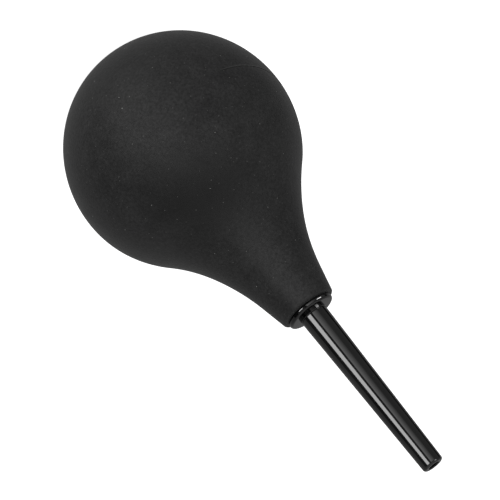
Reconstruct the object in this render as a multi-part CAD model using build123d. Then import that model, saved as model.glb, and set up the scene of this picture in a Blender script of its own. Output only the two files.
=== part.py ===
"""Hand-squeezed dust blower bulb with a screw-in nozzle and two check valves.

Millimetres. The blower's axis is Z: it stands on its rear inlet valve at z = 0, and the nozzle points up.
Every piece is a turned or moulded solid on that axis, and each one is written to its own STEP file.
"""

from build123d import *
from math import atan2, cos, degrees, radians, sin, sqrt, tan
import os

# ---- Bulb: overall form -------------------------------------------------------------------------
BULB_DIA = 78.0  # widest diameter
REAR_HEIGHT = 40.0  # rear half is an ellipsoid of this height
SHOULDER_RADIUS = 39.0  # convex arc from the widest plane towards the neck
NECK_RADIUS = 70.5  # concave arc that runs into the neck
NECK_HALF_ANGLE = 12.4  # taper of the neck, in degrees
MOUTH_HEIGHT = 68.65  # from the widest plane up to the mouth
MOUTH_DIA = 19.2
MOUTH_ROUND = 0.9  # rounding of the mouth's lip
WALL = 2.8
REAR_RIM = 0.8  # flat rubber round the foot
REAR_PAD = 3.0  # rubber held between the inlet housing's flange and its snap lip

# ---- Inlet valve, at the rear -------------------------------------------------------------------
FLANGE_DIA = 20.0  # the foot that the blower stands on
FLANGE_THICK = 2.2
FLANGE_PROUD = 0.3  # how far the foot stands out of the rubber
FLANGE_ROUND = 0.5
FLANGE_GAP = 0.15  # radial gap between the foot and its recess in the rubber
BARREL_DIA = 13.0
SNAP_LIP_DIA = 16.0
SNAP_LIP_THICK = 1.2
SNAP_NOSE = 2.2  # length of the lead-in cone behind the snap lip
SNAP_NOSE_DIA = 12.4
CHAMBER_DIA = 10.4
INLET_BORE_DIA = 6.0
SEAT_LIP_WIDTH = 0.6
SEAT_LIP_HEIGHT = 0.4
INLET_DISC_DIA = 8.4
DISC_THICK = 0.8
INLET_TRAVEL = 1.0  # how far the inlet disc lifts
CAP_DIA = 14.8
CAP_THICK = 1.1
CAP_RECESS = 0.3  # cap face below the foot's face
CAP_GAP = 0.05
CAP_HOLE_DIA = 1.8
CAP_HOLES = 6
CAP_HOLE_CIRCLE = 6.2
SCREEN_THICK = 0.5
SCREEN_DIA = 10.4
RETAINER_THICK = 1.4
RETAINER_RIM = 0.6
RETAINER_SPOKE = 1.0

# ---- Collar and outlet valve, in the neck -------------------------------------------------------
COLLAR_DIA = 16.7
COLLAR_THICK = 1.9
COLLAR_ROUND = 0.9  # both edges of the rim, nearly a full round
BOSS_DIA = 9.6
BOSS_HEIGHT = 0.8
SEAM_CHAMFER = 0.2  # on the boss and on the nozzle's shoulder, so the seam reads as a fine groove
SPIGOT_DIA = 11.0
SPIGOT_LENGTH = 16.5
SPIGOT_END_CHAMFER = 0.8
BARB_DIA = 12.6
BARB_LENGTH = 3.5
BARB_GAP = 0.5
BARBS = 3
NECK_LAND = 15.5  # length of rubber that grips the spigot
NECK_STEP = 3.5  # length of the cone that opens the land into the cavity
NECK_STEP_RIM = 1.5  # its width at the land, over the spigot's radius
SOCKET_DEPTH = 9.0  # below the mouth
SEAL_BORE_DIA = 8.1
SEAL_BORE_DEPTH = 3.2  # below the boss's face
WEB_THICK = 1.2
WEB_SPOKE = 1.0
WEB_SPOKE_DROP = 0.6  # how far the spokes hang below the web, so the open disc can't block it
WEB_SPOKES = 3
OUTLET_CHAMBER_DIA = 8.8
OUTLET_DISC_DIA = 6.8
OUTLET_TRAVEL = 1.2
OUTLET_BORE_DIA = 4.0

# ---- Nozzle -------------------------------------------------------------------------------------
NOZZLE_ROOT_DIA = 9.5
NOZZLE_TIP_DIA = 7.38
NOZZLE_LENGTH = 62.8  # from the shoulder to the tip
NOZZLE_BORE_DIA = 3.8
TIP_ROUND = 0.95
TIP_BORE_CHAMFER = 0.25
THREAD_DIA = 7.0
THREAD_DEPTH = 0.55
THREAD_PITCH = 1.25
THREAD_TURNS = 4
THREAD_GAP = 0.1  # clearance on every side of the thread's ridge in the socket
ROOT_END_GAP = 1.0  # between the nozzle's end and the web
SEAL_LAND_GAP = 0.1  # radial clearance of the plain land in its bore
ORING_SECTION = 1.06
ORING_GAP = 0.02  # clearance on every side of the ring
ORING_ABOVE = 0.8  # solid land between the shoulder and the ring's groove

TINY = 0.01  # overshoot of cutting tools past the face that they open
MIN_CUT = 1.0  # volume that each cut of the collar must at least remove

# ---- Levels and radii that follow from the sizes above ------------------------------------------
bulb_r = BULB_DIA / 2
mouth_r = MOUTH_DIA / 2
recess_r = FLANGE_DIA / 2 + FLANGE_GAP
rear_flat_r = recess_r + REAR_RIM
widest_z = FLANGE_PROUD + REAR_HEIGHT * sqrt(1 - (rear_flat_r / bulb_r) ** 2)
mouth_z = widest_z + MOUTH_HEIGHT
pad_z = FLANGE_THICK + REAR_PAD  # flat floor of the cavity
boss_z = mouth_z + COLLAR_THICK + BOSS_HEIGHT
web_z = mouth_z - SOCKET_DEPTH - WEB_THICK  # underside of the web
spoke_z = web_z - WEB_SPOKE_DROP
outlet_seat_z = spoke_z - OUTLET_TRAVEL - DISC_THICK  # top of the outlet's seat lip
spigot_end_z = mouth_z - SPIGOT_LENGTH
cap_top_z = CAP_RECESS + CAP_THICK
screen_top_z = cap_top_z + SCREEN_THICK
inlet_web_z = screen_top_z + WEB_THICK  # chamber floor
inlet_seat_z = inlet_web_z + SEAT_LIP_HEIGHT
retainer_z = inlet_seat_z + DISC_THICK + INLET_TRAVEL
housing_top_z = pad_z + SNAP_LIP_THICK + SNAP_NOSE
seal_bore_z = boss_z - SEAL_BORE_DEPTH
groove_top_z = boss_z - ORING_ABOVE
oring_r = ORING_SECTION / 2
oring_z = groove_top_z - ORING_GAP - oring_r
groove_bottom_z = oring_z - oring_r - ORING_GAP
oring_ring_r = SEAL_BORE_DIA / 2 - ORING_GAP - oring_r
root_end_z = mouth_z - SOCKET_DEPTH + ROOT_END_GAP
thread_core_r = THREAD_DIA / 2 - THREAD_DEPTH
thread_base = THREAD_PITCH * 0.7  # width of the ridge at its foot
thread_crest = THREAD_PITCH * 0.15
thread_z = root_end_z + thread_base  # where the ridge starts


def turned(*edges):
    """The solid that a closed outline of (radius, height) edges sweeps round Z."""
    return revolve(Plane.XZ * make_face(Curve() + list(edges)), axis=Axis.Z)


def turned_points(*points):
    """As turned(), for an outline of straight lines."""
    return revolve(Plane.XZ * make_face(Polyline(*points, close=True)), axis=Axis.Z)


def tube(outer_dia, inner_dia, low, high):
    """A plain ring or sleeve on Z."""
    ring = Circle(outer_dia / 2) - Circle(inner_dia / 2)
    return Pos(0, 0, low) * extrude(ring, high - low)


def rod(dia, low, high):
    """A plain cylinder on Z."""
    return Pos(0, 0, low) * extrude(Circle(dia / 2), high - low)


def cut(body, tool):
    """Body less a tool. The kernel can skip a helical cut and report nothing, so the volumes are compared."""
    left = body - tool
    if left.volume > body.volume - MIN_CUT:
        raise ValueError("a cut was skipped: nothing was removed")
    return left


def spokes(count, length, width, low, high):
    """Bars from the axis outwards, evenly spaced."""
    bar = Pos(length / 2, 0, (low + high) / 2) * Box(length, width, high - low)
    star = bar
    for k in range(1, count):
        star += Rot(0, 0, 360 * k / count) * bar
    return star


def along(start, direction, distance):
    """The point at a distance from start, in a direction."""
    return (start[0] + direction[0] * distance, start[1] + direction[1] * distance)


def neck_geometry():
    """Centres of the shoulder and neck arcs, and the cone's outward normal and upward direction.

    All are (radius, height). The neck arc touches the shoulder arc from outside and runs into the cone.
    """
    taper = radians(NECK_HALF_ANGLE)
    normal = (cos(taper), sin(taper))
    upward = (-sin(taper), cos(taper))
    shoulder = (bulb_r - SHOULDER_RADIUS, widest_z)
    reach = (mouth_r - shoulder[0]) * normal[0] + (mouth_z - shoulder[1]) * normal[1] + NECK_RADIUS
    rise = sqrt((SHOULDER_RADIUS + NECK_RADIUS) ** 2 - reach**2)
    centre = along(along(shoulder, normal, reach), upward, rise)
    return shoulder, centre, normal, upward


def pear(wall, floor_z, top_z):
    """The bulb's form moved in by a wall: flat floor, ellipsoid, shoulder, neck, cone and flat top."""
    shoulder, centre, normal, upward = neck_geometry()
    rear_r, rear_h = bulb_r - wall, REAR_HEIGHT - wall
    shoulder_r, neck_r = SHOULDER_RADIUS - wall, NECK_RADIUS + wall
    to_neck = atan2(centre[1] - shoulder[1], centre[0] - shoulder[0])
    floor_share = (widest_z - floor_z) / rear_h
    floor_r = rear_r * sqrt(1 - floor_share**2)
    angle = atan2(floor_share, floor_r / rear_r)
    pull = tan(angle / 4) * 4 / 3  # the pull that makes a cubic follow an ellipse
    cone_foot = along(centre, normal, -neck_r)
    cone_top = along(cone_foot, upward, (top_z - cone_foot[1]) / upward[1])
    rear = Bezier(
        (floor_r, floor_z),
        (floor_r + pull * rear_r * sin(angle), floor_z + pull * rear_h * cos(angle)),
        (rear_r, widest_z - pull * rear_h),
        (rear_r, widest_z),
    )
    front = CenterArc(shoulder, shoulder_r, 0, degrees(to_neck))
    neck = CenterArc(centre, neck_r, 180 + NECK_HALF_ANGLE, degrees(to_neck) - NECK_HALF_ANGLE)
    return turned(
        rear,
        front,
        neck,
        Line(neck @ 0, cone_top),
        Line(cone_top, (0, top_z)),
        Line((0, top_z), (0, floor_z)),
        Line((0, floor_z), rear @ 0),
    )


def spigot_outline():
    """The barbed spigot's side, from the mouth down, as (radius, height) points."""
    core, barb = SPIGOT_DIA / 2, BARB_DIA / 2
    points = [(core, mouth_z)]
    first = mouth_z - (SPIGOT_LENGTH - BARBS * (BARB_LENGTH + BARB_GAP)) / 2
    for k in range(BARBS):
        top = first - k * (BARB_LENGTH + BARB_GAP)
        points += [(core, top), (barb, top), (core, top - BARB_LENGTH)]
    return points + [(core, spigot_end_z + SPIGOT_END_CHAMFER), (core - SPIGOT_END_CHAMFER, spigot_end_z)]


def bulb_shell():
    """One moulded rubber bulb, its neck shaped to the spigot and its rear to the inlet housing."""
    outer = pear(0, FLANGE_PROUD, mouth_z)
    outer = fillet(outer.edges().sort_by(Axis.Z)[-1], MOUTH_ROUND)
    land_z = mouth_z - NECK_LAND
    step_z = land_z - NECK_STEP
    step_r = SPIGOT_DIA / 2 + NECK_STEP_RIM
    cavity = pear(WALL, pad_z, mouth_z) & rod(BULB_DIA, 0, step_z)
    _, centre, _, _ = neck_geometry()
    cone_r = centre[0] - sqrt((NECK_RADIUS + WALL) ** 2 - (centre[1] - step_z) ** 2)
    step = turned_points((0, step_z), (cone_r, step_z), (step_r, land_z), (0, land_z))
    above = (SPIGOT_DIA / 2, mouth_z + TINY)
    neck_bore = turned_points((0, mouth_z + TINY), above, *spigot_outline(), (0, spigot_end_z))
    recess = rod(2 * recess_r, -TINY, FLANGE_THICK)
    port = rod(BARREL_DIA, 0, pad_z + TINY)
    shell = outer - cavity - step - neck_bore - recess - port
    return shell


def inlet_housing():
    """Hard plug that snaps into the rear port: foot flange, barrel, snap lip and the inlet's valve seat."""
    body = (
        rod(FLANGE_DIA, 0, FLANGE_THICK)
        + rod(BARREL_DIA, 0, pad_z)
        + rod(SNAP_LIP_DIA, pad_z, pad_z + SNAP_LIP_THICK)
        + turned_points(
            (0, pad_z + SNAP_LIP_THICK),
            (SNAP_LIP_DIA / 2, pad_z + SNAP_LIP_THICK),
            (SNAP_NOSE_DIA / 2, housing_top_z),
            (0, housing_top_z),
        )
    )
    body = fillet(body.edges().sort_by(Axis.Z)[0], FLANGE_ROUND)
    body -= rod(CAP_DIA + 2 * CAP_GAP, -TINY, cap_top_z)
    body -= rod(SCREEN_DIA + 2 * CAP_GAP, 0, screen_top_z)
    body -= rod(INLET_BORE_DIA, 0, housing_top_z)
    body -= rod(CHAMBER_DIA, inlet_web_z, housing_top_z + TINY)
    body += tube(INLET_BORE_DIA + 2 * SEAT_LIP_WIDTH, INLET_BORE_DIA, inlet_web_z - TINY, inlet_seat_z)
    return body


def inlet_cap():
    """Pierced cover, snapped into the foot."""
    cap = rod(CAP_DIA, CAP_RECESS, cap_top_z)
    cap -= rod(CAP_HOLE_DIA, 0, cap_top_z + TINY)
    for k in range(CAP_HOLES):
        place = Rot(0, 0, 360 * k / CAP_HOLES) * Pos(CAP_HOLE_CIRCLE / 2, 0, 0)
        cap -= place * rod(CAP_HOLE_DIA, 0, cap_top_z + TINY)
    return cap


def inlet_screen():
    """Fine gauze disc that keeps grit out of the bulb, as one thin plate."""
    return rod(SCREEN_DIA, cap_top_z, screen_top_z)


def inlet_valve_disc():
    """Loose rubber disc that lies on the inlet's seat."""
    return rod(INLET_DISC_DIA, inlet_seat_z, inlet_seat_z + DISC_THICK)


def inlet_retainer():
    """Spoked ring pressed into the chamber, which stops the disc."""
    low, high = retainer_z, retainer_z + RETAINER_THICK
    ring = tube(CHAMBER_DIA, CHAMBER_DIA - 2 * RETAINER_RIM, low, high)
    return ring + spokes(WEB_SPOKES, CHAMBER_DIA / 2 - RETAINER_RIM / 2, RETAINER_SPOKE, low, high)


def neck_collar():
    """Hard collar: rounded rim over the mouth, barbed spigot, nozzle socket, outlet web and chamber."""
    rim = rod(COLLAR_DIA, mouth_z, mouth_z + COLLAR_THICK)
    rim = fillet(rim.edges(), COLLAR_ROUND)
    boss = rod(BOSS_DIA, mouth_z + COLLAR_ROUND, boss_z)
    boss = chamfer(boss.edges().sort_by(Axis.Z)[-1], SEAM_CHAMFER)
    spigot = turned_points((0, mouth_z), *spigot_outline(), (0, spigot_end_z))
    body = rim + boss + spigot
    body = cut(body, thread(thread_z - THREAD_PITCH, THREAD_TURNS + 3, THREAD_GAP))  # first, in solid stock
    body = cut(body, rod(SEAL_BORE_DIA, seal_bore_z, boss_z + TINY))
    body = cut(body, rod(2 * (thread_core_r + THREAD_GAP), web_z, boss_z))
    body = cut(body, rod(OUTLET_CHAMBER_DIA, spigot_end_z - TINY, web_z))
    body += spokes(WEB_SPOKES, OUTLET_CHAMBER_DIA / 2 + TINY, WEB_SPOKE, spoke_z, web_z + WEB_THICK)
    return body


def outlet_valve_seat():
    """Ring pressed into the spigot's end, with the outlet's seat lip."""
    lip_base_z = outlet_seat_z - SEAT_LIP_HEIGHT
    ring = tube(OUTLET_CHAMBER_DIA, OUTLET_BORE_DIA, spigot_end_z, lip_base_z)
    return ring + tube(OUTLET_BORE_DIA + 2 * SEAT_LIP_WIDTH, OUTLET_BORE_DIA, spigot_end_z, outlet_seat_z)


def outlet_valve_disc():
    """Loose rubber disc that lies on the outlet's seat."""
    return rod(OUTLET_DISC_DIA, outlet_seat_z, outlet_seat_z + DISC_THICK)


def nozzle_o_ring():
    """Rubber ring in the nozzle's groove."""
    return Pos(0, 0, oring_z) * Torus(oring_ring_r, oring_r)


def nozzle_tube():
    """Tapered tube with a threaded root, an O-ring land and a straight bore."""
    tip_z = boss_z + NOZZLE_LENGTH
    land_r = SEAL_BORE_DIA / 2 - SEAL_LAND_GAP
    groove_r = oring_ring_r - oring_r - ORING_GAP
    body = turned_points(
        (0, root_end_z),
        (thread_core_r, root_end_z),
        (thread_core_r, seal_bore_z + SEAL_LAND_GAP),
        (land_r, seal_bore_z + SEAL_LAND_GAP),
        (land_r, groove_bottom_z),
        (groove_r, groove_bottom_z),
        (groove_r, groove_top_z),
        (land_r, groove_top_z),
        (land_r, boss_z),
        (NOZZLE_ROOT_DIA / 2 - SEAM_CHAMFER, boss_z),
        (NOZZLE_ROOT_DIA / 2, boss_z + SEAM_CHAMFER),
        (NOZZLE_TIP_DIA / 2, tip_z),
        (0, tip_z),
    )
    body = fillet(body.edges().filter_by(lambda e: abs(e.center().Z - tip_z) < TINY), TIP_ROUND)
    body += thread(thread_z, THREAD_TURNS, 0)
    body -= rod(NOZZLE_BORE_DIA, root_end_z - TINY, tip_z + TINY)
    flare_r = NOZZLE_BORE_DIA / 2 + TIP_BORE_CHAMFER
    body -= turned_points(
        (0, tip_z - TIP_BORE_CHAMFER - NOZZLE_BORE_DIA / 2),
        (flare_r + TINY, tip_z + TINY),
        (0, tip_z + TINY),
    )
    return body


def thread(start_z, turns, grow):
    """A right-handed helical ridge, sunk a little into its core, or grown by a gap to cut its groove."""
    sunk = 0.1
    helix = Helix(THREAD_PITCH, THREAD_PITCH * turns, thread_core_r, center=(0, 0, start_z))
    section = Plane(origin=helix @ 0, x_dir=(1, 0, 0), z_dir=helix % 0) * Polygon(
        (-sunk, -thread_base / 2 - grow),
        (THREAD_DEPTH + grow, -thread_crest / 2 - grow),
        (THREAD_DEPTH + grow, thread_crest / 2 + grow),
        (-sunk, thread_base / 2 + grow),
        align=None,
    )
    return sweep(section, path=helix, is_frenet=True)


os.makedirs("parts", exist_ok=True)
for make in (
    bulb_shell,
    inlet_housing,
    inlet_cap,
    inlet_screen,
    inlet_valve_disc,
    inlet_retainer,
    neck_collar,
    outlet_valve_seat,
    outlet_valve_disc,
    nozzle_o_ring,
    nozzle_tube,
):
    export_step(make(), f"parts/{make.__name__}.step")
print("mouth", round(mouth_z, 3), "boss", round(boss_z, 3), "tip", round(boss_z + NOZZLE_LENGTH, 3))
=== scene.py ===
import bmesh
import bpy
import math
from mathutils import Matrix, Vector


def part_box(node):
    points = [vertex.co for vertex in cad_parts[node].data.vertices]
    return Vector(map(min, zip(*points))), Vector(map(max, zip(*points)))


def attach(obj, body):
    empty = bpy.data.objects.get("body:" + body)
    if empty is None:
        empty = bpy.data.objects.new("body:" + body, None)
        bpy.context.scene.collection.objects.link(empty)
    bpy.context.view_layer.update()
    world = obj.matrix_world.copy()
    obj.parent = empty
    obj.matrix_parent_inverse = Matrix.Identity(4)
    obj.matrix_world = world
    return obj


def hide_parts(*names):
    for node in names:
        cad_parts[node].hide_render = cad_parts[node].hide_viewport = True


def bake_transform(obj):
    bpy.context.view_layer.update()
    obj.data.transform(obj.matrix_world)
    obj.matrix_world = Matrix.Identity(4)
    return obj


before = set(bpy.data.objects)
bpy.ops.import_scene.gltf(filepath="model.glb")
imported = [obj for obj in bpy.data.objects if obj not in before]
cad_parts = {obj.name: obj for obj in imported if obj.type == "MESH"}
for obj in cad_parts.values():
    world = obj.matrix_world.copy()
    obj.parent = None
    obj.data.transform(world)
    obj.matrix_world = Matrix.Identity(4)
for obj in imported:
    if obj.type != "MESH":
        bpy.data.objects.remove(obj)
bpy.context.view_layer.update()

mm = 0.001

# The squeeze bulb: one pear-shaped shell of soft black synthetic rubber, moulded in two halves.
# Its neck is shaped to the collar's barbs, and its rear port is gripped by the inlet plug.
# The shell is turned from its outline, so the outline's arcs are the shape of the mould.

rear_low, mouth_high = (corner.z / mm for corner in map(Vector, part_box("bulb_shell")))
bulb_radius = Vector(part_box("bulb_shell")[1]).x / mm
rear_flat_radius = 10.95
rear_height = 40.0
shoulder_radius = 39.0
neck_radius = 70.5
neck_taper = math.radians(12.4)
mouth_radius = 9.6
wall = 2.8
recess_radius, recess_top = 10.15, 2.25  # the hollow in the rear, for the plug's foot
port_radius, cavity_floor = 6.55, 5.2
mouth_round = 0.9
spigot_radius, neck_gap = 5.5, 0.03
barb_radius, barb_length = 6.3, 3.5
barb_count, barb_pitch, barb_start = 3, 4.0, 2.25  # the start is below the mouth
land_length, step_length, step_radius = 15.5, 3.5, 7.0  # the rubber's grip, and the cone that opens it
widest_z = rear_low + rear_height * math.sqrt(1 - (rear_flat_radius / bulb_radius) ** 2)


def arc(centre, radii, start, end, steps):
    """Points on an arc or part of an ellipse, as (radius, height)."""
    turn = [start + (end - start) * k / steps for k in range(steps + 1)]
    return [(centre[0] + radii[0] * math.cos(a), centre[1] + radii[1] * math.sin(a)) for a in turn]


def rounded(corners, steps=8):
    """The outline through (radius, height, rounding) corners, each corner an arc of its rounding."""
    points = []
    for k, corner in enumerate(corners):
        here = Vector(corner[:2])
        if len(corner) < 3:
            points.append(tuple(here))
            continue
        back = (Vector(corners[k - 1][:2]) - here).normalized()
        ahead = (Vector(corners[(k + 1) % len(corners)][:2]) - here).normalized()
        half = math.acos(max(-1, min(1, back.dot(ahead)))) / 2
        centre = here + (back + ahead).normalized() * corner[2] / math.sin(half)
        first = here + back * corner[2] / math.tan(half) - centre
        last = here + ahead * corner[2] / math.tan(half) - centre
        swing = first.angle_signed(last)
        for j in range(steps + 1):
            points.append(tuple(centre + Matrix.Rotation(-swing * j / steps, 2) @ first))
    return points


def pear_side(inset, low, high, steps):
    """The pear's side between two heights, moved in by an inset: ellipse, shoulder arc, neck arc, cone."""
    normal = Vector((math.cos(neck_taper), math.sin(neck_taper)))
    upward = Vector((-math.sin(neck_taper), math.cos(neck_taper)))
    shoulder = Vector((bulb_radius - shoulder_radius, widest_z))
    mouth = Vector((mouth_radius, mouth_high))
    reach = (mouth - shoulder).dot(normal) + neck_radius
    rise = math.sqrt((shoulder_radius + neck_radius) ** 2 - reach**2)
    neck = shoulder + reach * normal + rise * upward
    meet = math.atan2(neck.y - shoulder.y, neck.x - shoulder.x)
    rear_angle = -math.asin((widest_z - low) / (rear_height - inset))
    side = arc((0, widest_z), (bulb_radius - inset, rear_height - inset), rear_angle, 0, steps)
    side += arc(shoulder, (shoulder_radius - inset,) * 2, 0, meet, steps // 2)[1:]
    side += arc(neck, (neck_radius + inset,) * 2, math.pi + meet, math.pi + neck_taper, steps // 2)[1:]
    side += [tuple(mouth - inset * normal + upward * (high - mouth.y) / upward.y)]
    return side


def barbs(gap):
    """The spigot's barbed side from the mouth down, with a gap round it."""
    low_radius, high_radius = spigot_radius + gap, barb_radius + gap
    side = []
    for k in range(barb_count):
        top = mouth_high - barb_start - barb_pitch * k
        side += [(low_radius, top), (high_radius, top), (low_radius, top - barb_length)]
    return side


def add(tree, kind, values=None, **settings):
    """A node with its settings, and its inputs set to values or joined to other nodes' outputs."""
    node = tree.nodes.new(kind)
    for key, value in settings.items():
        setattr(node, key, value)
    for key, value in (values or {}).items():
        if isinstance(value, bpy.types.NodeSocket):
            tree.links.new(value, node.inputs[key])
        else:
            node.inputs[key].default_value = value
    return node


def calculator(tree):
    """A function that adds a math node to this tree and gives its result."""

    def sums(operation, *values):
        return add(tree, "ShaderNodeMath", dict(enumerate(values)), operation=operation).outputs[0]

    return sums


def shape_group(name, inputs, output):
    """A geometry node group with named inputs and one output, to be filled in."""
    tree = bpy.data.node_groups.new(name, "GeometryNodeTree")
    for label, kind in inputs.items():
        tree.interface.new_socket(label, in_out="INPUT", socket_type="NodeSocket" + kind)
    tree.interface.new_socket(output, in_out="OUTPUT", socket_type="NodeSocketGeometry")
    return tree, tree.nodes.new("NodeGroupInput").outputs, tree.nodes.new("NodeGroupOutput").inputs


def turned_tree():
    """Sweeps an outline round Z: one turn with no pitch closes a ring, more with a pitch make a thread."""
    sizes = {"Segments": "Int", "Turns": "Float", "Pitch": "Float", "Run-out": "Float", "Foot": "Vector"}
    finish = {"Sharp Angle": "Float", "Material": "Material"}
    tree, given, made = shape_group("Turned piece", {"Outline": "Geometry", **sizes, **finish}, "Piece")
    sums = calculator(tree)
    rows = add(tree, "GeometryNodeAttributeDomainSize", {0: given["Outline"]}).outputs["Point Count"]
    columns = sums("ADD", given["Segments"], 1)
    grid = add(
        tree, "GeometryNodeMeshGrid", {"Size X": 1, "Size Y": 1, "Vertices X": columns, "Vertices Y": rows}
    )
    place = add(tree, "GeometryNodeInputPosition").outputs[0]
    along = sums("ADD", add(tree, "ShaderNodeSeparateXYZ", {0: place}).outputs["X"], 0.5)
    turned_so_far = sums("MULTIPLY", along, given["Turns"])
    row = sums("MODULO", add(tree, "GeometryNodeInputIndex").outputs[0], rows)
    pick = add(
        tree,
        "GeometryNodeSampleIndex",
        {"Geometry": given["Outline"], "Value": place, "Index": row},
        data_type="FLOAT_VECTOR",
    )

    # towards both ends of a thread, its ridge dies away into its foot
    no_run_out = 1e-6
    to_end = sums("MINIMUM", along, sums("SUBTRACT", 1, along))
    fade = sums("MINIMUM", sums("DIVIDE", to_end, sums("MAXIMUM", given["Run-out"], no_run_out)), 1)
    share = sums("MAXIMUM", fade, sums("LESS_THAN", given["Run-out"], no_run_out))
    blend = add(
        tree,
        "ShaderNodeMix",
        {"Factor": share, 4: given["Foot"], 5: pick.outputs["Value"]},
        data_type="VECTOR",
    )
    angle = sums("MULTIPLY", turned_so_far, 2 * math.pi)
    spin = add(
        tree, "ShaderNodeVectorRotate", {"Vector": blend.outputs[1], "Angle": angle}, rotation_type="Z_AXIS"
    )
    climb = add(tree, "ShaderNodeCombineXYZ", {"Z": sums("MULTIPLY", turned_so_far, given["Pitch"])})
    swept = add(
        tree,
        "GeometryNodeSetPosition",
        {"Geometry": grid.outputs["Mesh"], "Position": spin.outputs[0], "Offset": climb.outputs[0]},
    )
    closed = add(tree, "GeometryNodeMergeByDistance", {"Geometry": swept.outputs[0], "Distance": 2e-6})
    soft = add(tree, "GeometryNodeSetShadeSmooth", {"Geometry": closed.outputs[0]})
    bend = add(tree, "GeometryNodeInputMeshEdgeAngle").outputs["Unsigned Angle"]
    steep = add(tree, "FunctionNodeCompare", {0: bend, 1: given["Sharp Angle"]})
    crisp = add(
        tree,
        "GeometryNodeSetShadeSmooth",
        {"Geometry": soft.outputs[0], "Selection": steep.outputs[0], "Shade Smooth": False},
        domain="EDGE",
    )
    real = add(tree, "GeometryNodeRealizeInstances", {0: crisp.outputs[0]})
    coat = add(tree, "GeometryNodeSetMaterial", {"Geometry": real.outputs[0], "Material": given["Material"]})
    tree.links.new(coat.outputs[0], made[0])
    return tree


def finished(name, start_mesh, tree, **inputs):
    """Runs a tree on a starting mesh and leaves the result as a plain mesh object."""
    piece = bpy.data.objects.new(name, start_mesh)
    bpy.context.scene.collection.objects.link(piece)
    maker = piece.modifiers.new("maker", "NODES")
    maker.node_group = tree
    keys = {s.name: s.identifier for s in tree.interface.items_tree if s.in_out == "INPUT"}
    for label, value in inputs.items():
        maker[keys[label]] = value
    view = bpy.context.evaluated_depsgraph_get()
    view.update()
    result = bpy.data.meshes.new_from_object(piece.evaluated_get(view), depsgraph=view)
    piece.modifiers.remove(maker)
    piece.data = result
    return piece


turned = turned_tree()


def turn(name, outline, material, segments=128, sharp=32, closed=True, **extra):
    """A piece turned from its (radius, height) outline in millimetres."""
    mesh = bpy.data.meshes.new(name + "_outline")
    path = [*outline, outline[0]] if closed else outline
    points = [(r * mm, 0, z * mm) for r, z in path]
    mesh.from_pydata(points, [(k, k + 1) for k in range(len(points) - 1)], [])
    inputs = {"Segments": segments, "Turns": 1.0, "Pitch": 0.0, "Run-out": 0.0, "Foot": (0, 0, 0)}
    inputs.update(extra)
    inputs["Sharp Angle"] = math.radians(sharp)
    inputs["Material"] = material
    return finished(name, mesh, turned, **inputs)


def surface(name, colour):
    """A new material, with its node tree and its shader."""
    material = bpy.data.materials.new(name)
    material.use_nodes = True
    material.diffuse_color = (*colour, 1)
    shader = material.node_tree.nodes["Principled BSDF"]
    shader.inputs["Base Color"].default_value = (*colour, 1)
    return material, material.node_tree, shader


def group_of(name, inputs, outputs):
    """A shader node group with named number inputs and outputs, to be filled in."""
    group = bpy.data.node_groups.new(name, "ShaderNodeTree")
    for label, value in inputs.items():
        kind = "NodeSocketVector" if value is None else "NodeSocketFloat"
        made = group.interface.new_socket(label, in_out="INPUT", socket_type=kind)
        if value is not None:
            made.default_value = value
    for label in outputs:
        group.interface.new_socket(label, in_out="OUTPUT", socket_type="NodeSocketFloat")
    return group, group.nodes.new("NodeGroupInput").outputs, group.nodes.new("NodeGroupOutput").inputs


def placed(tree, group, values):
    """The group in a material, with this material's own values."""
    return add(tree, "ShaderNodeGroup", values, node_tree=group)


# moulded grain: the mould's fine texture, and the broad cloudy patches that handling leaves
grain_group, given, made = group_of(
    "Moulded grain", {"Place": None, "Grain Scale": 3000.0, "Patch Scale": 40.0}, ("Grain", "Patches")
)
fine = add(
    grain_group,
    "ShaderNodeTexNoise",
    {"Vector": given["Place"], "Scale": given["Grain Scale"], "Detail": 3.0, "Roughness": 0.6},
)
coarse = add(
    grain_group,
    "ShaderNodeTexNoise",
    {"Vector": given["Place"], "Scale": given["Patch Scale"], "Detail": 3.0, "Roughness": 0.55},
)
spread = add(
    grain_group,
    "ShaderNodeMapRange",
    {"Value": coarse.outputs["Fac"], "From Min": 0.32, "From Max": 0.68},
    clamp=True,
)
grain_group.links.new(fine.outputs["Fac"], made["Grain"])
grain_group.links.new(spread.outputs["Result"], made["Patches"])

# settled dust: small specks, one to a cell and most of them faint, with some cells left clean
dust_colour = (0.3, 0.3, 0.29, 1)
dust_group, given, made = group_of(
    "Settled dust", {"Place": None, "Cell Scale": 400.0, "Speck Size": 0.08, "Share": 0.1}, ("Specks",)
)
cells = add(dust_group, "ShaderNodeTexVoronoi", {"Vector": given["Place"], "Scale": given["Cell Scale"]})
tone = add(dust_group, "ShaderNodeSeparateColor", {"Color": cells.outputs["Color"]})
size = add(
    dust_group, "ShaderNodeMath", {0: tone.outputs["Green"], 1: given["Speck Size"]}, operation="MULTIPLY"
)
inside = add(
    dust_group, "ShaderNodeMath", {0: cells.outputs["Distance"], 1: size.outputs[0]}, operation="LESS_THAN"
)
chosen = add(dust_group, "ShaderNodeMath", {0: tone.outputs["Red"], 1: given["Share"]}, operation="LESS_THAN")
speck = add(dust_group, "ShaderNodeMath", {0: inside.outputs[0], 1: chosen.outputs[0]}, operation="MULTIPLY")
rare = add(dust_group, "ShaderNodeMath", {0: tone.outputs["Blue"], 1: 9.0}, operation="POWER")
plainness = add(dust_group, "ShaderNodeMapRange", {"Value": rare.outputs[0], "To Min": 0.16, "To Max": 1.0})
faint = add(
    dust_group, "ShaderNodeMath", {0: speck.outputs[0], 1: plainness.outputs[0]}, operation="MULTIPLY"
)
dust_group.links.new(faint.outputs[0], made["Specks"])

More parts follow.
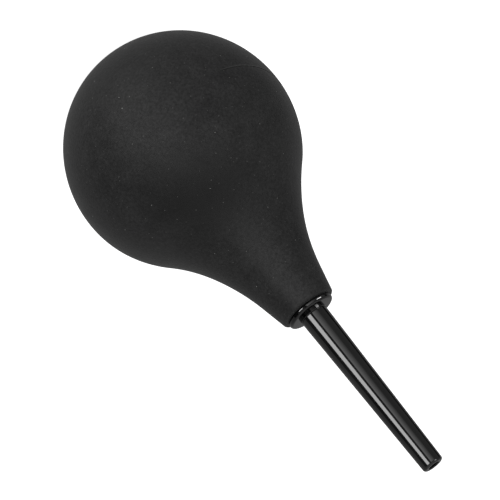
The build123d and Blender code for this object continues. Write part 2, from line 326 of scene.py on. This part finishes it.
# matte black rubber, paler and duller in cloudy patches, with a faint mould crease on one side
rubber, tree, shader = surface("matte_black_rubber", (0.02, 0.02, 0.02))
shader.inputs["IOR"].default_value = 1.5
shader.inputs["Specular IOR Level"].default_value = 0.34
shader.inputs["Sheen Weight"].default_value = 0.06
shader.inputs["Sheen Roughness"].default_value = 0.45
place = add(tree, "ShaderNodeTexCoord").outputs["Object"]
grain = placed(tree, grain_group, {"Place": place, "Grain Scale": 1150.0, "Patch Scale": 34.0})
pores = placed(tree, grain_group, {"Place": place, "Grain Scale": 2600.0, "Patch Scale": 170.0})
dust = placed(tree, dust_group, {"Place": place, "Cell Scale": 760.0, "Speck Size": 0.15, "Share": 0.62})
tint = add(
    tree,
    "ShaderNodeMix",
    {"Factor": grain.outputs["Patches"], 6: (0.0125, 0.0125, 0.0127, 1), 7: (0.0165, 0.0165, 0.0165, 1)},
    data_type="RGBA",
)
speckle = add(
    tree,
    "ShaderNodeMapRange",
    {"Value": grain.outputs["Grain"], "From Min": 0.3, "From Max": 0.7, "To Min": 0.5, "To Max": 1.5},
)
mottled = add(
    tree, "ShaderNodeVectorMath", {0: tint.outputs[2], "Scale": speckle.outputs["Result"]}, operation="SCALE"
)
cloudy = add(tree, "ShaderNodeMapRange", {"Value": pores.outputs["Patches"], "To Min": 0.8, "To Max": 1.2})
mottled = add(
    tree,
    "ShaderNodeVectorMath",
    {0: mottled.outputs[0], "Scale": cloudy.outputs["Result"]},
    operation="SCALE",
)

# one darker patch where the shoulder runs into the neck, with a cloudy edge: a painted dark reflection, the base
# colour darkened where the shoulder reflects a dark part of the room
wander = add(tree, "ShaderNodeTexNoise", {"Vector": place, "Scale": 60.0, "Detail": 2.0})
shifted = add(
    tree,
    "ShaderNodeVectorMath",
    {0: wander.outputs["Color"], 1: (0.012,) * 3, 2: place},
    operation="MULTIPLY_ADD",
)
dark_reflection_centre = (0.01, -0.024, 0.0715)
away = add(tree, "ShaderNodeVectorMath", {0: shifted.outputs[0], 1: dark_reflection_centre}, operation="DISTANCE")
# painted dark reflection: the base colour falls to 0.15 of its tone in the middle and is untouched at the edge
painted_dark_reflection = add(
    tree,
    "ShaderNodeMapRange",
    {"Value": away.outputs["Value"], "From Min": 0.004, "From Max": 0.026, "To Min": 0.15, "To Max": 1.0},
    interpolation_type="SMOOTHSTEP",
)
# the painted dark reflection darkens the rubber's base colour
mottled = add(
    tree, "ShaderNodeVectorMath", {0: mottled.outputs[0], "Scale": painted_dark_reflection.outputs["Result"]}, operation="SCALE"
)
dusty = add(
    tree,
    "ShaderNodeMix",
    {"Factor": dust.outputs["Specks"], 6: mottled.outputs[0], 7: dust_colour},
    data_type="RGBA",
)
tree.links.new(dusty.outputs[2], shader.inputs["Base Color"])
polish = add(
    tree, "ShaderNodeMapRange", {"Value": pores.outputs["Patches"], "To Min": 0.5, "To Max": 0.6}
)
tree.links.new(polish.outputs["Result"], shader.inputs["Roughness"])

# the crease lies in a slanted plane across the side and fades out at both ends
crease_slant, crease_rise = (-0.291, -0.36, 1.0), 14.9
split = add(tree, "ShaderNodeSeparateXYZ", {"Vector": place})
plane = add(tree, "ShaderNodeVectorMath", {0: place, 1: crease_slant}, operation="DOT_PRODUCT")
level = add(
    tree, "ShaderNodeMath", {0: plane.outputs["Value"], 1: (widest_z + crease_rise) * mm}, operation="SUBTRACT"
)
off = add(tree, "ShaderNodeMath", {0: level.outputs[0]}, operation="ABSOLUTE")
ridge = add(
    tree,
    "ShaderNodeMapRange",
    {"Value": off.outputs[0], "From Min": 0.0, "From Max": 0.00045, "To Min": 1.0, "To Max": 0.0},
    interpolation_type="SMOOTHSTEP",
)
ends = add(
    tree,
    "ShaderNodeMapRange",
    {"Value": split.outputs["X"], "From Min": -0.021, "From Max": -0.028},
    interpolation_type="SMOOTHSTEP",
)
crease = add(
    tree, "ShaderNodeMath", {0: ridge.outputs["Result"], 1: ends.outputs["Result"]}, operation="MULTIPLY"
)
pitted = add(tree, "ShaderNodeBump", {"Strength": 0.7, "Distance": 0.0001, "Height": grain.outputs["Grain"]})
waved = add(
    tree,
    "ShaderNodeBump",
    {"Strength": 0.4, "Distance": 0.00006, "Height": pores.outputs["Grain"], "Normal": pitted.outputs[0]},
)
creased = add(
    tree,
    "ShaderNodeBump",
    {"Strength": 1.0, "Distance": 0.00036, "Height": crease.outputs[0], "Normal": waved.outputs[0]},
)
tree.links.new(creased.outputs[0], shader.inputs["Normal"])

outer = pear_side(0, rear_low, mouth_high, steps=64)
mouth_edge = rounded([outer[-2], (mouth_radius, mouth_high, mouth_round), (spigot_radius, mouth_high)])
land_z = mouth_high - land_length
step_z = land_z - step_length
inner = [p for p in pear_side(wall, cavity_floor, mouth_high, steps=48) if p[1] < step_z]
shell = [(port_radius, recess_top), (recess_radius, recess_top), (recess_radius, rear_low)]
shell += outer[:-1] + mouth_edge[1:-1]
shell += [(spigot_radius + neck_gap, mouth_high)] + barbs(neck_gap) + [(spigot_radius + neck_gap, land_z)]
shell += [(step_radius, land_z)] + inner[::-1] + [(port_radius, cavity_floor)]
bulb = turn("bulb", shell, rubber, segments=192)

# soft rubber is never quite round: the shoulder leans a little to one side
lean, lean_z, lean_reach = 0.45, 69.0, 13.0
for vertex in bulb.data.vertices:
    vertex.co.x -= lean * mm * math.exp(-(((vertex.co.z / mm - lean_z) / lean_reach) ** 2))
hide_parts("bulb_shell")
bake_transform(bulb)

# The collar: one moulding of glossy black plastic. Its rounded rim closes the bulb's mouth, its barbs hold
# the rubber, and its threaded socket takes the nozzle. A spoked web in it stops the outlet valve's disc.


def smooth_copy(name, node, material, sharp=30):
    """A CAD piece with its triangles joined and its curved faces shaded smooth."""
    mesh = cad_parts[node].data.copy()
    mesh.name = name
    work = bmesh.new()
    work.from_mesh(mesh)
    bmesh.ops.remove_doubles(work, verts=work.verts, dist=1e-6)
    for edge in work.edges:
        edge.smooth = len(edge.link_faces) == 2 and edge.calc_face_angle(0) < math.radians(sharp)
    for face in work.faces:
        face.smooth = True
    work.to_mesh(mesh)
    work.free()
    mesh.materials.clear()
    mesh.materials.append(material)
    piece = bpy.data.objects.new(name, mesh)
    bpy.context.scene.collection.objects.link(piece)
    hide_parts(node)
    return piece


# hairline scratches: long thin marks that run one way, broken up so that few of them are whole
scratch_group, given, made = group_of(
    "Hairline scratches", {"Place": None, "Scale": 300.0, "Amount": 0.5}, ("Marks",)
)
slanted = add(
    scratch_group,
    "ShaderNodeMapping",
    {"Vector": given["Place"], "Rotation": (0.3, 0.5, 0.2), "Scale": (1, 1, 0.06)},
)
lines = add(
    scratch_group,
    "ShaderNodeTexNoise",
    {"Vector": slanted.outputs[0], "Scale": given["Scale"], "Detail": 5.0, "Roughness": 0.7},
)
breaks = add(scratch_group, "ShaderNodeTexNoise", {"Vector": given["Place"], "Scale": 120.0, "Detail": 2.0})
thin = add(
    scratch_group, "ShaderNodeMapRange", {"Value": lines.outputs["Fac"], "From Min": 0.62, "From Max": 0.74}
)
some = add(
    scratch_group, "ShaderNodeMapRange", {"Value": breaks.outputs["Fac"], "From Min": 0.5, "From Max": 0.62}
)
both = add(scratch_group, "ShaderNodeMath", {0: thin.outputs[0], 1: some.outputs[0]}, operation="MULTIPLY")
much = add(scratch_group, "ShaderNodeMath", {0: both.outputs[0], 1: given["Amount"]}, operation="MULTIPLY")
scratch_group.links.new(much.outputs[0], made["Marks"])


def black_plastic(name, gloss, dull, waviness):
    """Glossy black moulded plastic: finger smears dull it, fine scratches and dust lie on it."""
    material, tree, shader = surface(name, (0.008, 0.008, 0.008))
    shader.inputs["IOR"].default_value = 1.5
    place = add(tree, "ShaderNodeTexCoord").outputs["Object"]
    smears = placed(tree, grain_group, {"Place": place, "Grain Scale": 700.0, "Patch Scale": 90.0})
    marks = placed(tree, scratch_group, {"Place": place, "Scale": 900.0, "Amount": 0.6})
    dust = placed(tree, dust_group, {"Place": place, "Cell Scale": 700.0, "Speck Size": 0.1, "Share": 0.3})
    tint = add(
        tree,
        "ShaderNodeMix",
        {"Factor": smears.outputs["Patches"], 6: (0.0025, 0.0025, 0.0026, 1), 7: (0.005, 0.005, 0.005, 1)},
        data_type="RGBA",
    )
    dusty = add(
        tree,
        "ShaderNodeMix",
        {"Factor": dust.outputs["Specks"], 6: tint.outputs[2], 7: dust_colour},
        data_type="RGBA",
    )
    tree.links.new(dusty.outputs[2], shader.inputs["Base Color"])
    base = add(
        tree, "ShaderNodeMapRange", {"Value": smears.outputs["Patches"], "To Min": gloss, "To Max": dull}
    )
    rough = add(
        tree,
        "ShaderNodeMath",
        {0: marks.outputs["Marks"], 1: 0.25, 2: base.outputs[0]},
        operation="MULTIPLY_ADD",
    )
    tree.links.new(rough.outputs[0], shader.inputs["Roughness"])
    wavy = add(
        tree, "ShaderNodeBump", {"Strength": waviness, "Distance": 0.00005, "Height": smears.outputs["Grain"]}
    )
    scored = add(
        tree,
        "ShaderNodeBump",
        {"Strength": 0.12, "Distance": 0.00002, "Height": marks.outputs["Marks"], "Normal": wavy.outputs[0]},
        invert=True,
    )
    tree.links.new(scored.outputs[0], shader.inputs["Normal"])
    return material


collar = smooth_copy("collar", "neck_collar", black_plastic("collar_black_plastic", 0.06, 0.12, 0.12))
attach(collar, "bulb")

# The nozzle: a long tapered tube of the same glossy black plastic, with a bore from end to end.
# Its root screws into the collar on a right-hand thread, down to its shoulder.

nozzle_low, nozzle_high = (corner.z / mm for corner in map(Vector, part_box("nozzle_tube")))
nozzle_length = 62.8  # from the shoulder to the tip
bore_radius, bore_flare = 1.9, 0.25
core_radius, land_radius, root_radius, tip_radius = 2.95, 3.95, 4.75, 3.69
land_depth, groove_top, groove_floor = 3.1, 0.8, 1.9  # all below the shoulder
seam, tip_round = 0.2, 0.95
shoulder_z = nozzle_high - nozzle_length
nozzle_plastic = black_plastic("nozzle_black_plastic", 0.045, 0.085, 0.06)
nozzle_outline = rounded(
    [
        (bore_radius, nozzle_low),
        (core_radius, nozzle_low, 0.15),
        (core_radius, shoulder_z - land_depth),
        (land_radius, shoulder_z - land_depth, 0.1),
        (land_radius, shoulder_z - groove_floor),
        (core_radius, shoulder_z - groove_floor),
        (core_radius, shoulder_z - groove_top),
        (land_radius, shoulder_z - groove_top),
        (land_radius, shoulder_z),
        (root_radius - seam, shoulder_z),
        (root_radius, shoulder_z + seam, 0.1),
        (tip_radius, nozzle_high, tip_round),
        (bore_radius + bore_flare, nozzle_high, 0.12),
        (bore_radius, nozzle_high - bore_flare),
    ]
)
nozzle = turn("nozzle", nozzle_outline, nozzle_plastic, segments=160)
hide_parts("nozzle_tube")
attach(nozzle, "nozzle")

thread_turns, thread_pitch, run_out = 4.0, 1.25, 0.04  # the run-out is a share of the whole thread
foot_radius, crest_radius, half_foot, half_crest = 2.85, 3.5, 0.4375, 0.094
thread_low = nozzle_low + 2 * half_foot
thread_section = [
    (foot_radius, thread_low - half_foot),
    (crest_radius, thread_low - half_crest),
    (crest_radius, thread_low + half_crest),
    (foot_radius, thread_low + half_foot),
]
foot = (foot_radius * mm, 0, thread_low * mm)
thread = turn(
    "nozzle_thread",
    thread_section,
    nozzle_plastic,
    segments=320,
    **{"Turns": thread_turns, "Pitch": thread_pitch * mm, "Run-out": run_out, "Foot": foot},
)
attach(thread, "nozzle")

# The O-ring: smooth black nitrile, stretched into the nozzle's groove, where it seals against the collar.


def cloudy_finish(name, colour, scales, tones, gloss, grain):
    """A quiet surface: its tone and gloss drift in cloudy patches, over a fine grain."""
    material, tree, shader = surface(name, colour)
    place = add(tree, "ShaderNodeTexCoord").outputs["Object"]
    film = placed(tree, grain_group, {"Place": place, "Grain Scale": scales[0], "Patch Scale": scales[1]})
    patches = film.outputs["Patches"]
    tint = add(
        tree, "ShaderNodeMix", {"Factor": patches, 6: (*tones[0], 1), 7: (*tones[1], 1)}, data_type="RGBA"
    )
    tree.links.new(tint.outputs[2], shader.inputs["Base Color"])
    rough = add(tree, "ShaderNodeMapRange", {"Value": patches, "To Min": gloss[0], "To Max": gloss[1]})
    tree.links.new(rough.outputs[0], shader.inputs["Roughness"])
    height = film.outputs["Grain"]
    skin = add(tree, "ShaderNodeBump", {"Strength": grain[0], "Distance": grain[1], "Height": height})
    tree.links.new(skin.outputs[0], shader.inputs["Normal"])
    return material, shader


nitrile, shader = cloudy_finish(
    "black_nitrile",
    (0.02, 0.02, 0.02),
    scales=(6000.0, 500.0),
    tones=((0.015, 0.015, 0.015), (0.03, 0.03, 0.03)),
    gloss=(0.28, 0.45),
    grain=(0.2, 0.00002),
)
shader.inputs["Specular IOR Level"].default_value = 0.45
ring_low, ring_high = (Vector(corner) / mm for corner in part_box("nozzle_o_ring"))
cord_radius = (ring_high.z - ring_low.z) / 2
ring_centre = (ring_high.x - cord_radius, ring_low.z + cord_radius)
ring_outline = arc(ring_centre, (cord_radius,) * 2, -math.pi, math.pi, steps=24)[:-1]
seal = turn("o_ring", ring_outline, nitrile, segments=96)
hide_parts("nozzle_o_ring")
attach(seal, "seal")

# The outlet valve, inside the collar: a ring of plain black plastic pressed into the spigot, with a raised
# seat, and a loose disc of pale silicone that lies on it. Air from the bulb lifts the disc.


def inner_plastic(name):
    """Plain black moulded plastic, unpolished, with cloudy flow marks."""
    return cloudy_finish(
        name,
        (0.04, 0.04, 0.04),
        scales=(4000.0, 260.0),
        tones=((0.03, 0.03, 0.031), (0.05, 0.05, 0.05)),
        gloss=(0.38, 0.52),
        grain=(0.3, 0.00002),
    )[0]


silicone, shader = cloudy_finish(
    "pale_silicone",
    (0.6, 0.58, 0.54),
    scales=(5000.0, 420.0),
    tones=((0.55, 0.53, 0.49), (0.66, 0.64, 0.6)),
    gloss=(0.4, 0.55),
    grain=(0.2, 0.00002),
)
shader.inputs["Subsurface Weight"].default_value = 0.3
shader.inputs["Subsurface Radius"].default_value = (0.001, 0.0009, 0.0007)
shader.inputs["IOR"].default_value = 1.41


def valve_disc(name, node, body):
    """A die-cut silicone disc with slightly rolled edges."""
    low, high = (Vector(corner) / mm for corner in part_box(node))
    edge = 0.12
    outline = rounded([(0, low.z), (high.x, low.z, edge), (high.x, high.z, edge), (0, high.z)], steps=4)
    disc = turn(name, outline, silicone, segments=72, closed=False)
    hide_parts(node)
    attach(disc, body)


seat = smooth_copy("outlet_seat", "outlet_valve_seat", inner_plastic("seat_black_plastic"))
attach(seat, "bulb")
valve_disc("outlet_disc", "outlet_valve_disc", "outlet_disc")

# The inlet plug, at the rear: a glossy black moulding that snaps into the bulb's port. Its flange is the foot
# that the blower stands on, and its barrel holds the inlet valve.

flange_radius, flange_top = 10.0, 2.2
cap_radius, cap_top = 7.45, 1.4
gauze_radius, gauze_top = 5.25, 1.9
barrel_radius, port_top = 6.5, 5.2
lip_radius, lip_top = 8.0, 6.4  # the lip that snaps in behind the port
nose_radius, nose_top = 6.2, 8.6
chamber_radius, chamber_floor = 5.2, 3.1
seat_bore, seat_rim, seat_top = 3.0, 3.6, 3.5
plug_outline = rounded(
    [
        (seat_bore, gauze_top),
        (gauze_radius, gauze_top),
        (gauze_radius, cap_top),
        (cap_radius, cap_top),
        (cap_radius, 0.0, 0.15),
        (flange_radius, 0.0, 0.5),
        (flange_radius, flange_top, 0.2),
        (barrel_radius, flange_top),
        (barrel_radius, port_top),
        (lip_radius, port_top, 0.15),
        (lip_radius, lip_top, 0.3),
        (nose_radius, nose_top, 0.2),
        (chamber_radius, nose_top),
        (chamber_radius, chamber_floor),
        (seat_rim, chamber_floor),
        (seat_rim, seat_top, 0.1),
        (seat_bore, seat_top, 0.1),
    ],
    steps=5,
)
plug = turn("inlet_plug", plug_outline, black_plastic("plug_black_plastic", 0.16, 0.3, 0.15), segments=128)
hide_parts("inlet_housing")
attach(plug, "inlet")

# The pierced cap snaps into the foot, and a disc of woven nylon gauze under it keeps grit out.

cap = smooth_copy("inlet_cover", "inlet_cap", black_plastic("cap_black_plastic", 0.2, 0.34, 0.15))
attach(cap, "inlet")

nylon = cloudy_finish(
    "nylon_gauze",
    (0.5, 0.5, 0.47),
    scales=(9000.0, 350.0),
    tones=((0.42, 0.41, 0.38), (0.58, 0.57, 0.54)),
    gloss=(0.3, 0.5),
    grain=(0.2, 0.00001),
)[0]


def gauze_tree():
    """Plain weave: wires both ways, each over and under the next, trimmed to a disc."""
    sizes = {"Radius": "Float", "Wire Spacing": "Float", "Wire Radius": "Float", "Level": "Float"}
    tree, given, made = shape_group("Woven gauze", {**sizes, "Material": "Material"}, "Gauze")
    sums = calculator(tree)
    wire_points = 131
    half = sums("FLOOR", sums("DIVIDE", given["Radius"], given["Wire Spacing"]))
    count = sums("MULTIPLY_ADD", half, 2, 1)
    reach = sums("MULTIPLY", half, given["Wire Spacing"])
    first = add(tree, "ShaderNodeCombineXYZ", {"Y": sums("MULTIPLY", reach, -1)}).outputs[0]
    step = add(tree, "ShaderNodeCombineXYZ", {"Y": given["Wire Spacing"]}).outputs[0]
    rows = add(tree, "GeometryNodeMeshLine", {"Count": count, "Start Location": first, "Offset": step})
    left = add(tree, "ShaderNodeCombineXYZ", {"X": sums("MULTIPLY", given["Radius"], -1)}).outputs[0]
    right = add(tree, "ShaderNodeCombineXYZ", {"X": given["Radius"]}).outputs[0]
    wire = add(tree, "GeometryNodeCurvePrimitiveLine", {"Start": left, "End": right})
    wire = add(tree, "GeometryNodeResampleCurve", {"Curve": wire.outputs[0], "Count": wire_points})
    laid = add(tree, "GeometryNodeInstanceOnPoints", {"Points": rows.outputs[0], "Instance": wire.outputs[0]})
    laid = add(tree, "GeometryNodeRealizeInstances", {0: laid.outputs[0]}).outputs[0]
    place = tree.nodes.new("GeometryNodeInputPosition").outputs[0]
    apart = add(tree, "ShaderNodeSeparateXYZ", {0: place}).outputs
    wave_x = sums("COSINE", sums("DIVIDE", sums("MULTIPLY", apart["X"], math.pi), given["Wire Spacing"]))
    wave_y = sums("COSINE", sums("DIVIDE", sums("MULTIPLY", apart["Y"], math.pi), given["Wire Spacing"]))
    wave = sums("MULTIPLY", sums("MULTIPLY", wave_x, wave_y), given["Wire Radius"])
    length = add(tree, "ShaderNodeVectorMath", {0: place}, operation="LENGTH").outputs["Value"]
    outside = sums("GREATER_THAN", length, given["Radius"])
    profile = add(tree, "GeometryNodeCurvePrimitiveCircle", {"Resolution": 5, "Radius": given["Wire Radius"]})
    sets = []
    for turn_angle, side in ((0, 1), (math.pi / 2, -1)):
        offset = add(tree, "ShaderNodeCombineXYZ", {"Z": sums("MULTIPLY", wave, side)}).outputs[0]
        bent = add(tree, "GeometryNodeSetPosition", {"Geometry": laid, "Offset": offset}).outputs[0]
        cut = add(tree, "GeometryNodeDeleteGeometry", {"Geometry": bent, "Selection": outside}).outputs[0]
        tube = add(
            tree,
            "GeometryNodeCurveToMesh",
            {"Curve": cut, "Profile Curve": profile.outputs[0], "Fill Caps": True},
        )
        way = (0, 0, turn_angle)
        sets.append(add(tree, "GeometryNodeTransform", {"Geometry": tube.outputs[0], "Rotation": way}).outputs[0])
    weave = tree.nodes.new("GeometryNodeJoinGeometry")
    for one in sets:
        tree.links.new(one, weave.inputs[0])
    lift = add(tree, "ShaderNodeCombineXYZ", {"Z": given["Level"]}).outputs[0]
    raised = add(tree, "GeometryNodeTransform", {"Geometry": weave.outputs[0], "Translation": lift})
    soft = add(tree, "GeometryNodeSetShadeSmooth", {"Geometry": raised.outputs[0]}).outputs[0]
    real = add(tree, "GeometryNodeRealizeInstances", {0: soft}).outputs[0]
    coat = add(tree, "GeometryNodeSetMaterial", {"Geometry": real, "Material": given["Material"]})
    tree.links.new(coat.outputs[0], made[0])
    return tree


gauze_low, gauze_high = (Vector(corner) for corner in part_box("inlet_screen"))
edge_gap, wire_spacing, wire_radius = 0.05, 0.4, 0.085
gauze = finished(
    "inlet_gauze",
    bpy.data.meshes.new("gauze_start"),
    gauze_tree(),
    **{
        "Radius": gauze_high.x - edge_gap * mm,
        "Wire Spacing": wire_spacing * mm,
        "Wire Radius": wire_radius * mm,
        "Level": (gauze_low.z + gauze_high.z) / 2,
        "Material": nylon,
    },
)
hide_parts("inlet_screen")
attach(gauze, "inlet")

# The inlet valve: a loose silicone disc on the plug's seat, kept in by a spoked ring pressed in above it.

valve_disc("inlet_disc", "inlet_valve_disc", "inlet_disc")
keeper = smooth_copy("inlet_keeper", "inlet_retainer", inner_plastic("keeper_black_plastic"))
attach(keeper, "inlet")

# The stage: a pale floor, clear from below, in a dim soft room. As in a product studio, each piece has its
# own lights: two soft fills for the bulb, a strip and a small box for the tube, two small boxes for the
# collar. A graded card shows in the tube and collar, and three black flags keep the tube's edges crisp.

floor_reach = 6
floor_mesh = bpy.data.meshes.new("floor")
floor_mesh.from_pydata(
    [(x * floor_reach, y * floor_reach, 0) for x, y in ((-1, -1), (1, -1), (1, 1), (-1, 1))],
    [],
    [(0, 1, 2, 3)],
)
floor = bpy.data.objects.new("floor", floor_mesh)
bpy.context.scene.collection.objects.link(floor)
pale, tree, shader = surface("pale_floor", (0.9, 0.9, 0.9))
shader.inputs["Roughness"].default_value = 0.9
shader.inputs["Specular IOR Level"].default_value = 0.1
shader.inputs["Emission Color"].default_value = (1, 1, 1, 1)
shader.inputs["Emission Strength"].default_value = 1.0
below = add(tree, "ShaderNodeNewGeometry").outputs["Backfacing"]
clear = add(tree, "ShaderNodeBsdfTransparent").outputs[0]
one_way = add(tree, "ShaderNodeMixShader", {0: below, 1: shader.outputs[0], 2: clear})
tree.links.new(one_way.outputs[0], tree.nodes["Material Output"].inputs["Surface"])
floor_mesh.materials.append(pale)
floor.visible_glossy = False
floor.visible_diffuse = False
floor.visible_shadow = False

world = bpy.data.worlds.new("soft room")
bpy.context.scene.world = world
world.use_nodes = True
world.node_tree.nodes["Background"].inputs["Color"].default_value = (1, 1, 1, 1)
room_glow, backdrop_glow = 0.3, 0.85
seen = add(world.node_tree, "ShaderNodeLightPath").outputs["Is Camera Ray"]
glow = add(
    world.node_tree, "ShaderNodeMapRange", {"Value": seen, "To Min": room_glow, "To Max": backdrop_glow}
)
world.node_tree.links.new(glow.outputs[0], world.node_tree.nodes["Background"].inputs["Strength"])
middle = Vector((0, 0, 0.12))


def facing(round_by, drop, distance):
    """A stand's place and turn, in degrees: round from the front, so far below level, facing the middle."""
    round_by, drop = math.radians(round_by), math.radians(drop)
    level = math.cos(drop)
    back = Vector((level * math.sin(round_by), -level * math.cos(round_by), -math.sin(drop)))
    side = Vector((0, 0, 1)).cross(back).normalized()
    turned_to = Matrix((side, back.cross(side), back)).transposed().to_4x4()
    return Matrix.Translation(middle + back * distance) @ turned_to


def soft_box(name, place, width, height, power, lit=None):
    """A rectangular studio light, for everything or for one collection of pieces only."""
    lamp = bpy.data.lights.new(name, "AREA")
    lamp.shape = "RECTANGLE"
    lamp.size = width
    lamp.size_y = height
    lamp.energy = power
    light = bpy.data.objects.new(name, lamp)
    bpy.context.scene.collection.objects.link(light)
    light.matrix_world = place
    light.visible_camera = False
    light.light_linking.receiver_collection = lit


stand_height = 1.4


def card(name, place, width, bright_left, bright_right, shown_in=None):
    """A tall card that shows only in reflections, with a ramp of glow across it. A flag is near black."""
    mesh = bpy.data.meshes.new(name)
    w, h = width / 2, stand_height / 2
    mesh.from_pydata([(-w, -h, 0), (w, -h, 0), (w, h, 0), (-w, h, 0)], [], [(0, 1, 2, 3)])
    board = bpy.data.objects.new(name, mesh)
    bpy.context.scene.collection.objects.link(board)
    board.matrix_world = place
    material = bpy.data.materials.new(name)
    material.use_nodes = True
    tree = material.node_tree
    tree.nodes.clear()
    across = add(
        tree, "ShaderNodeSeparateXYZ", {0: add(tree, "ShaderNodeTexCoord").outputs["Object"]}
    ).outputs["X"]
    ramp = add(
        tree,
        "ShaderNodeMapRange",
        {"Value": across, "From Min": -w, "From Max": w, "To Min": bright_left, "To Max": bright_right},
    )
    glow = add(tree, "ShaderNodeEmission", {"Strength": ramp.outputs[0]})
    tree.links.new(glow.outputs[0], add(tree, "ShaderNodeOutputMaterial").inputs[0])
    mesh.materials.append(material)
    board.visible_camera = False
    board.visible_diffuse = False
    board.visible_shadow = False
    board.light_linking.receiver_collection = shown_in


def pieces(name, *members):
    """A collection that a light is linked to, so that it lights these pieces only."""
    collection = bpy.data.collections.new(name)
    for member in members:
        collection.objects.link(member)
    return collection


tube_only = pieces("tube", nozzle, thread)
collar_only = pieces("collar", collar)
glossy_only = pieces("tube and collar", nozzle, thread, collar)
bulb_only = pieces("bulb", bulb)
beside = 17  # how far below level the tube's strip, card and flags stand, in degrees
soft_box("overhead", Matrix.Translation((0.1, -0.3, 1.3)), 1.6, 1.6, power=3.0)
soft_box("low_fill", facing(4, 45, 1.1), 0.9, 0.9, power=3.6, lit=bulb_only)
soft_box("front_fill", facing(-3, -5, 1.4), 1.8, 1.8, power=13.6, lit=bulb_only)
soft_box("strip", facing(33.5, beside, 0.9), 0.46, stand_height, power=18.5, lit=tube_only)
card("graded_card", facing(-24.5, beside, 0.95), 0.86, 0.25, 2.3, shown_in=glossy_only)
card("flag_between", facing(8.5, beside, 0.85), 0.12, 0.03, 0.03)
card("flag_beyond", facing(65, beside, 0.85), 0.42, 0.0, 0.0)
card("flag_left", facing(-112, beside, 0.85), 0.3, 0.02, 0.02)
soft_box("rim_light", facing(-66, -5, 0.9), 0.4, 0.36, power=9.0, lit=collar_only)
soft_box("tip_light", facing(-60, -45, 0.9), 0.3, 0.3, power=1.6, lit=tube_only)
soft_box("short_strip", facing(33.5, 38, 0.9), 0.3, 0.6, power=8.0, lit=collar_only)

# The camera looks a little down on the standing blower, and is rolled so that it lies across the view.

tilt = math.radians(17)
roll = math.radians(51.49)
along_axis = Vector((0, math.sin(tilt), math.cos(tilt)))
across = Vector((1, 0, 0))
backward = Vector((0, -math.cos(tilt), math.sin(tilt)))
right = math.cos(roll) * along_axis - math.sin(roll) * across
upward = -math.sin(roll) * along_axis - math.cos(roll) * across
lens = bpy.data.cameras.new("camera")
lens.sensor_width = 36
lens.lens = 219.6
lens.clip_start = 0.05
lens.clip_end = 50
camera = bpy.data.objects.new("camera", lens)
bpy.context.scene.collection.objects.link(camera)
aim_along, aim_across, distance = 0.03907, 0.003064, 1.0
aim = Vector((0, 0, widest_z * mm)) + aim_along * along_axis + aim_across * across
stand = aim + distance * backward
camera.matrix_world = Matrix.Translation(stand) @ Matrix((right, upward, backward)).transposed().to_4x4()
bpy.context.scene.camera = camera
bpy.context.scene.view_settings.view_transform = "Standard"
